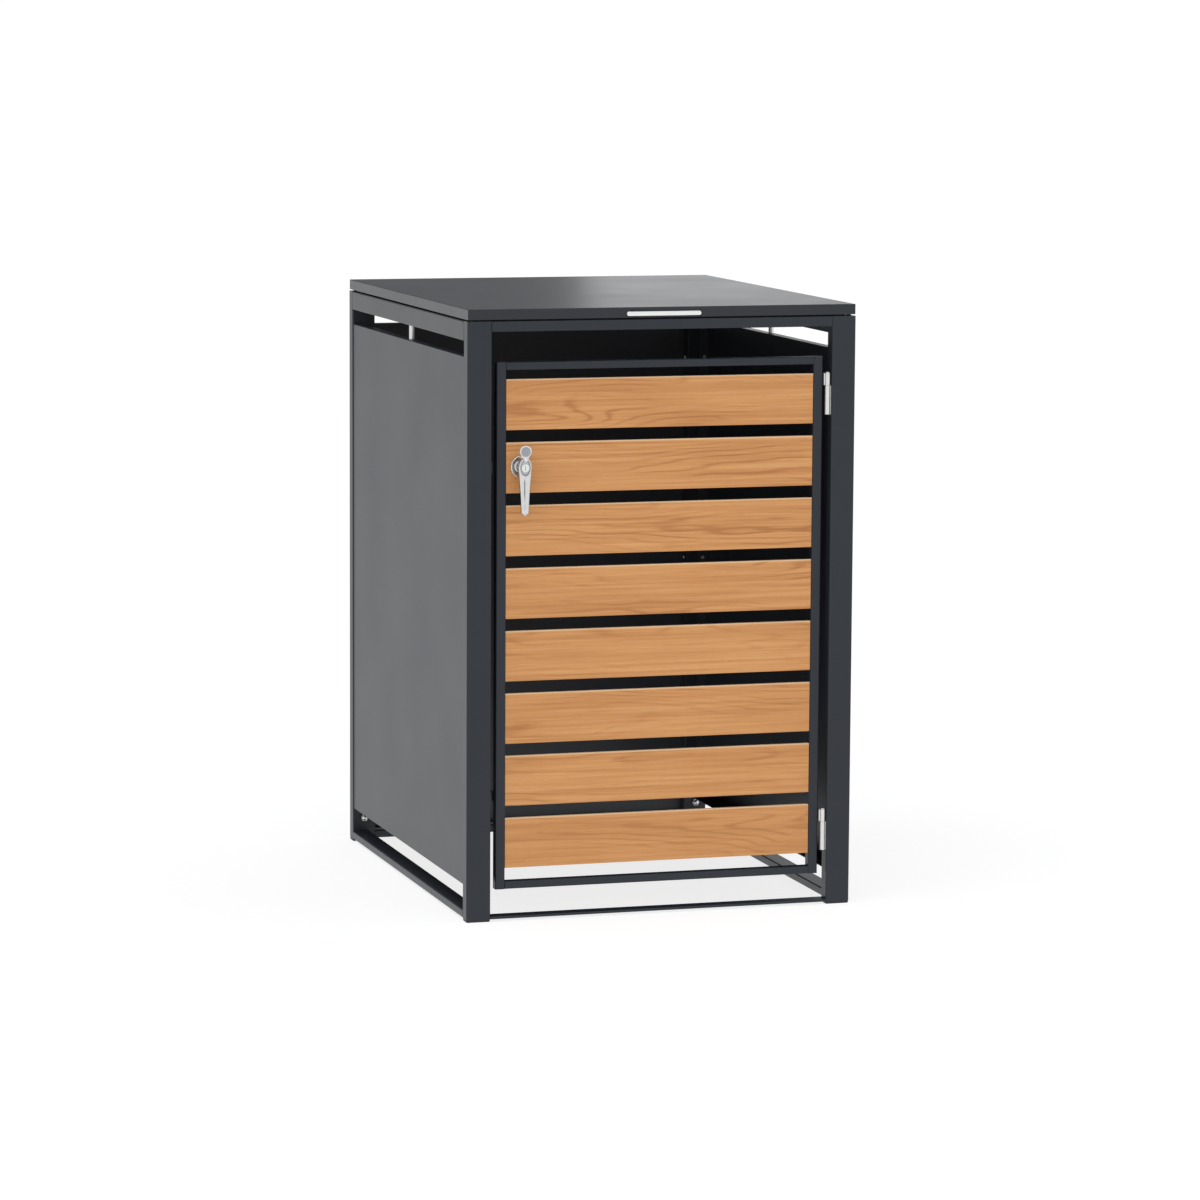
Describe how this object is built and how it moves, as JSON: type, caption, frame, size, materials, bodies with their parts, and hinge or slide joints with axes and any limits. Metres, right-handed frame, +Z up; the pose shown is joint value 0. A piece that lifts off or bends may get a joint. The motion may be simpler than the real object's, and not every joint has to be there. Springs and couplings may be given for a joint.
{
  "type": "wheeled bin housing",
  "caption": "Lockable steel housing for a wheeled refuse bin, with a lift-up lid, a slatted wood-look door on barrel hinges and a keyed lever handle.",
  "frame": {"origin": "on the ground, under the centre of the whole closed housing, handle and lid hinges included", "axes": "+Z up; -Y out of the door; +X to the right seen from the door, on the door's hinge side; the lid hinges at the +Y edge"},
  "size_m": [0.78, 0.966, 1.18],
  "materials": {
    "coated_steel": "anthracite fine-texture powder coat, satin",
    "door_steel": "anthracite powder coat, satin",
    "panel_steel": "anthracite powder-coated sheet, satin",
    "lid_steel": "anthracite powder-coated sheet, satin with soft reflections",
    "wood_decor": "honey oak decor with fine horizontal grain, satin",
    "brushed_steel": "brushed stainless steel",
    "lock_chrome": "satin chrome plated casting",
    "zinc_hardware": "bright zinc-plated hardware",
    "black_plastic": "black moulded plastic",
    "rubber": "black rubber"
  },
  "bodies": {
    "frame": {"dome_nuts": "brushed_steel", "door_hinge_frame_knuckles": "brushed_steel", "door_hinge_pins": "brushed_steel", "door_hinge_washers": "zinc_hardware", "door_stop_buffers": "rubber", "foot_pads": "black_plastic", "frame_bolts": "brushed_steel", "front_left_post": "coated_steel", "front_right_post": "coated_steel", "front_threshold": "coated_steel", "front_top_beam": "coated_steel", "left_bottom_beam": "coated_steel", "left_side_panel": "panel_steel", "left_top_beam": "coated_steel", "lid_buffers": "rubber", "lid_hinge_frame_leaves": "coated_steel", "lid_hinge_pins": "brushed_steel", "lock_strike": "coated_steel", "lower_door_stop": "coated_steel", "panel_rivets": "zinc_hardware", "rear_bottom_beam": "coated_steel", "rear_left_post": "coated_steel", "rear_panel": "panel_steel", "rear_right_post": "coated_steel", "rear_top_beam": "coated_steel", "right_bottom_beam": "coated_steel", "right_side_panel": "panel_steel", "right_top_beam": "coated_steel", "slot_spacers": "brushed_steel"},
    "lid": {"lid_cover": "lid_steel", "lid_grip": "brushed_steel", "lid_grip_backplate": "lid_steel", "lid_hinge_lid_leaves": "coated_steel", "lid_ribs": "lid_steel"},
    "door": {"door_bottom_rail": "door_steel", "door_hinge_door_knuckles": "brushed_steel", "door_left_stile": "door_steel", "door_right_stile": "door_steel", "door_stile_caps": "black_plastic", "door_top_rail": "door_steel", "left_slat_brackets": "door_steel", "lock_housing": "lock_chrome", "lock_nut": "zinc_hardware", "right_slat_brackets": "door_steel", "slat_1": "wood_decor", "slat_2": "wood_decor", "slat_3": "wood_decor", "slat_4": "wood_decor", "slat_5": "wood_decor", "slat_6": "wood_decor", "slat_7": "wood_decor", "slat_8": "wood_decor", "slat_screws": "zinc_hardware"},
    "handle": {"cam_nut": "zinc_hardware", "cam_tongue": "zinc_hardware", "dust_cover_rivet": "lock_chrome", "lever_handle": "lock_chrome", "spindle": "zinc_hardware"},
    "key_plug": {"key_plug": "lock_chrome"},
    "dust_cover": {"dust_cover": "lock_chrome"}
  },
  "joints": [
    {"name": "lid_hinge", "type": "hinge", "parent": "frame", "child": "lid", "pos_m": [0, 0.4785, 1.1585], "axis": [-1, 0, 0], "range_deg": [0, 100]},
    {"name": "door_hinge", "type": "hinge", "parent": "frame", "child": "door", "pos_m": [0.336, -0.454, 0.6], "axis": [0, 0, 1], "range_deg": [0, 110]},
    {"name": "handle_turn", "type": "hinge", "parent": "door", "child": "handle", "pos_m": [-0.28, -0.462, 0.878], "axis": [0, -1, 0], "range_deg": [0, 90]},
    {"name": "key_turn", "type": "hinge", "parent": "handle", "child": "key_plug", "pos_m": [-0.28, -0.475, 0.878], "axis": [0, -1, 0], "range_deg": [0, 90]},
    {"name": "dust_cover_swivel", "type": "hinge", "parent": "handle", "child": "dust_cover", "pos_m": [-0.28, -0.481, 0.8945], "axis": [0, -1, 0], "range_deg": [0, 180]}
  ]
}
